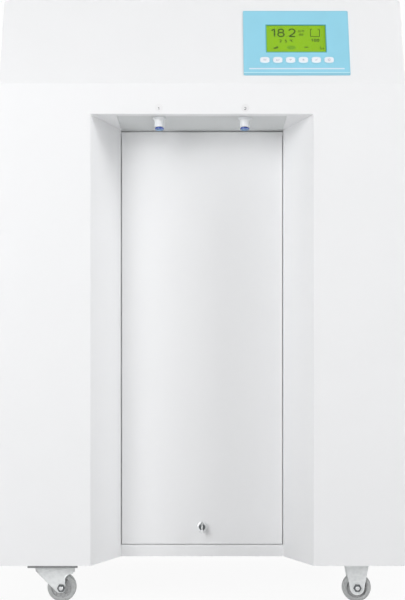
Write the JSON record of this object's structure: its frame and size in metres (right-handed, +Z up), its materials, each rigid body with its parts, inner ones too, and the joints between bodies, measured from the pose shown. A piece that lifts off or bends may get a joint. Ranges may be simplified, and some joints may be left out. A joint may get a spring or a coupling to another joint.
{
  "type": "ultrapure water system",
  "caption": "Floor-standing ultrapure water cabinet on casters, with a splayed dispensing recess, push-fit outlets, a locking access door and a leaning control console.",
  "frame": {"origin": "on the floor, under the middle of the overall box", "axes": "+Z up; the front faces -Y; +X is to the right seen from the front"},
  "size_m": [0.69, 0.5774, 1.051],
  "materials": {
    "white_enamel": "fine powder coat, satin",
    "zinc_steel": "zinc plated",
    "bright_steel": "bright",
    "chrome": "polished",
    "grey_rubber": "matte thermoplastic rubber",
    "white_plastic": "moulded, satin",
    "blue_plastic": "moulded",
    "label_white": "printed film",
    "blue_film": "fine-textured polyester film",
    "key_white": "embossed film",
    "display_glass": "clear",
    "display_green": "backlit",
    "board_green": "lacquered",
    "clear_plastic": "clear",
    "filter_felt": "wound fibre",
    "stainless": "brushed stainless tube",
    "grey_plastic": "moulded",
    "tank_blue": "enamelled shell",
    "cast_grey": "cast and painted",
    "black_plastic": "moulded"
  },
  "bodies": {
    "cabinet": {"front_shell": "white_enamel", "side_panel_left": "white_enamel", "side_panel_right": "white_enamel", "rear_panel": "white_enamel", "top_cover": "white_enamel", "outlet_plate": "white_enamel", "door_frame": "white_enamel", "base_tray": "zinc_steel", "mounting_plate": "zinc_steel", "swivel_plates": "zinc_steel", "rigid_brackets": "zinc_steel", "vessel_clips": "zinc_steel", "panel_screws": "bright_steel", "pivot_pins": "bright_steel", "rigid_axles": "bright_steel", "outlet_fittings": "white_plastic", "outlet_nuts": "white_plastic", "purification_columns": "white_plastic", "membrane_housings": "white_plastic", "rear_ports": "white_plastic", "connecting_tubes": "white_plastic", "prefilter_heads": "blue_plastic", "outlet_labels": "label_white", "control_overlay": "blue_film", "display_window": "display_glass", "display_module": "display_green", "control_board": "board_green", "prefilter_bowls": "clear_plastic", "filter_elements": "filter_felt", "uv_chamber": "stainless", "ultrafilter": "grey_plastic", "solenoid_valves": "grey_plastic", "pressure_tank": "tank_blue", "booster_pump": "cast_grey", "power_supply": "cast_grey", "power_inlet": "black_plastic"},
    "door": {"access_door": "white_enamel", "pivot_bushes": "white_plastic", "lock_housing": "chrome", "lock_nut": "bright_steel"},
    "lock": {"lock_plug": "chrome", "lock_cam": "bright_steel", "lock_key": "chrome"},
    "swivel_front": {"swivel_fork_front": "zinc_steel", "swivel_axle_front": "bright_steel"},
    "swivel_rear": {"swivel_fork_rear": "zinc_steel", "swivel_axle_rear": "bright_steel"},
    "wheel_front_left": {"swivel_wheel_front": "grey_rubber"},
    "wheel_rear_left": {"swivel_wheel_rear": "grey_rubber"},
    "wheel_front_right": {"rigid_wheel_front": "grey_rubber"},
    "wheel_rear_right": {"rigid_wheel_rear": "grey_rubber"},
    "collar_left": {"release_collar_left": "blue_plastic"},
    "collar_right": {"release_collar_right": "blue_plastic"},
    "rocker": {"power_rocker": "black_plastic"},
    "key_1": {"panel_key_1": "key_white"},
    "key_2": {"panel_key_2": "key_white"},
    "key_3": {"panel_key_3": "key_white"},
    "key_4": {"panel_key_4": "key_white"},
    "key_5": {"panel_key_5": "key_white"},
    "key_6": {"panel_key_6": "key_white"}
  },
  "joints": [
    {"name": "door_tilt", "type": "hinge", "parent": "cabinet", "child": "door", "pos_m": [0, -0.16235, 0.8307], "axis": [-1, 0, 0], "range_deg": [0, 60]},
    {"name": "lock_turn", "type": "hinge", "parent": "door", "child": "lock", "pos_m": [0, -0.16835, 0.1227], "axis": [0, 1, 0], "range_deg": [0, 90]},
    {"name": "swivel_front_turn", "type": "hinge", "parent": "cabinet", "child": "swivel_front", "pos_m": [-0.257, -0.22835, 0.07], "axis": [0, 0, 1], "continuous": true},
    {"name": "swivel_rear_turn", "type": "hinge", "parent": "cabinet", "child": "swivel_rear", "pos_m": [-0.257, 0.21165, 0.07], "axis": [0, 0, 1], "continuous": true},
    {"name": "wheel_front_left_spin", "type": "hinge", "parent": "swivel_front", "child": "wheel_front_left", "pos_m": [-0.245, -0.22835, 0.025], "axis": [0, 1, 0], "continuous": true},
    {"name": "wheel_rear_left_spin", "type": "hinge", "parent": "swivel_rear", "child": "wheel_rear_left", "pos_m": [-0.245, 0.21165, 0.025], "axis": [0, 1, 0], "continuous": true},
    {"name": "wheel_front_right_spin", "type": "hinge", "parent": "cabinet", "child": "wheel_front_right", "pos_m": [0.27, -0.22835, 0.025], "axis": [0, 1, 0], "continuous": true},
    {"name": "wheel_rear_right_spin", "type": "hinge", "parent": "cabinet", "child": "wheel_rear_right", "pos_m": [0.27, 0.21165, 0.025], "axis": [0, 1, 0], "continuous": true},
    {"name": "rocker_tilt", "type": "hinge", "parent": "cabinet", "child": "rocker", "pos_m": [0.22, 0.27165, 0.201], "axis": [0, 0, 1], "range_deg": [0, 20]},
    {"name": "collar_left_press", "type": "slide", "parent": "cabinet", "child": "collar_left", "axis": [0, 0, 1], "range_m": [0, 0.0015], "stiffness_N_per_m": 500},
    {"name": "collar_right_press", "type": "slide", "parent": "cabinet", "child": "collar_right", "axis": [0, 0, 1], "range_m": [0, 0.0015], "stiffness_N_per_m": 500},
    {"name": "key_1_press", "type": "slide", "parent": "cabinet", "child": "key_1", "axis": [0, 0.9475, -0.3198], "range_m": [0, 0.0008], "stiffness_N_per_m": 400},
    {"name": "key_2_press", "type": "slide", "parent": "cabinet", "child": "key_2", "axis": [0, 0.9475, -0.3198], "range_m": [0, 0.0008], "stiffness_N_per_m": 400},
    {"name": "key_3_press", "type": "slide", "parent": "cabinet", "child": "key_3", "axis": [0, 0.9475, -0.3198], "range_m": [0, 0.0008], "stiffness_N_per_m": 400},
    {"name": "key_4_press", "type": "slide", "parent": "cabinet", "child": "key_4", "axis": [0, 0.9475, -0.3198], "range_m": [0, 0.0008], "stiffness_N_per_m": 400},
    {"name": "key_5_press", "type": "slide", "parent": "cabinet", "child": "key_5", "axis": [0, 0.9475, -0.3198], "range_m": [0, 0.0008], "stiffness_N_per_m": 400},
    {"name": "key_6_press", "type": "slide", "parent": "cabinet", "child": "key_6", "axis": [0, 0.9475, -0.3198], "range_m": [0, 0.0008], "stiffness_N_per_m": 400}
  ]
}
